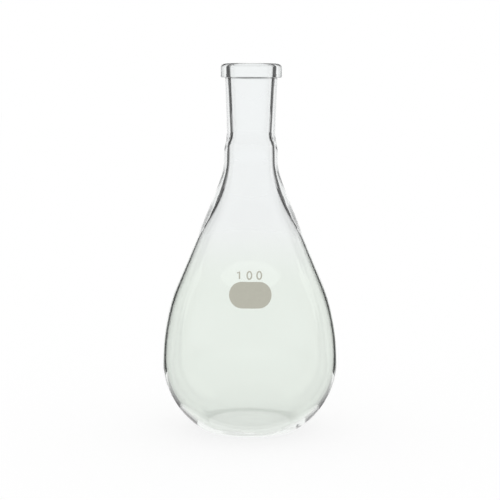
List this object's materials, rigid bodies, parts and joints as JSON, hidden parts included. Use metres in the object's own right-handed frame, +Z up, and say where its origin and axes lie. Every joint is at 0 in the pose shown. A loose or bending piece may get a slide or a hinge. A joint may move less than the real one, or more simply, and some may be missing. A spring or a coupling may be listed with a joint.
{
  "type": "flat-bottom recovery flask",
  "caption": "Pear-shaped clear glass laboratory flask with a flat base, a thick sloping shoulder, a flanged conical neck socket and an oval enamel marking spot.",
  "frame": {"origin": "centre of the flat base, on the surface that the flask stands on", "axes": "+Z up along the flask's axis of symmetry, -Y towards the front with the marking spot, +X to the right seen from the front"},
  "size_m": [0.0624, 0.0624, 0.1303],
  "materials": {
    "glass": "clear borosilicate glass, blown and fire polished",
    "enamel": "fired enamel print, warm grey, matt"
  },
  "bodies": {
    "root": {"flask": "glass", "marking_spot": "enamel"}
  },
  "joints": []
}
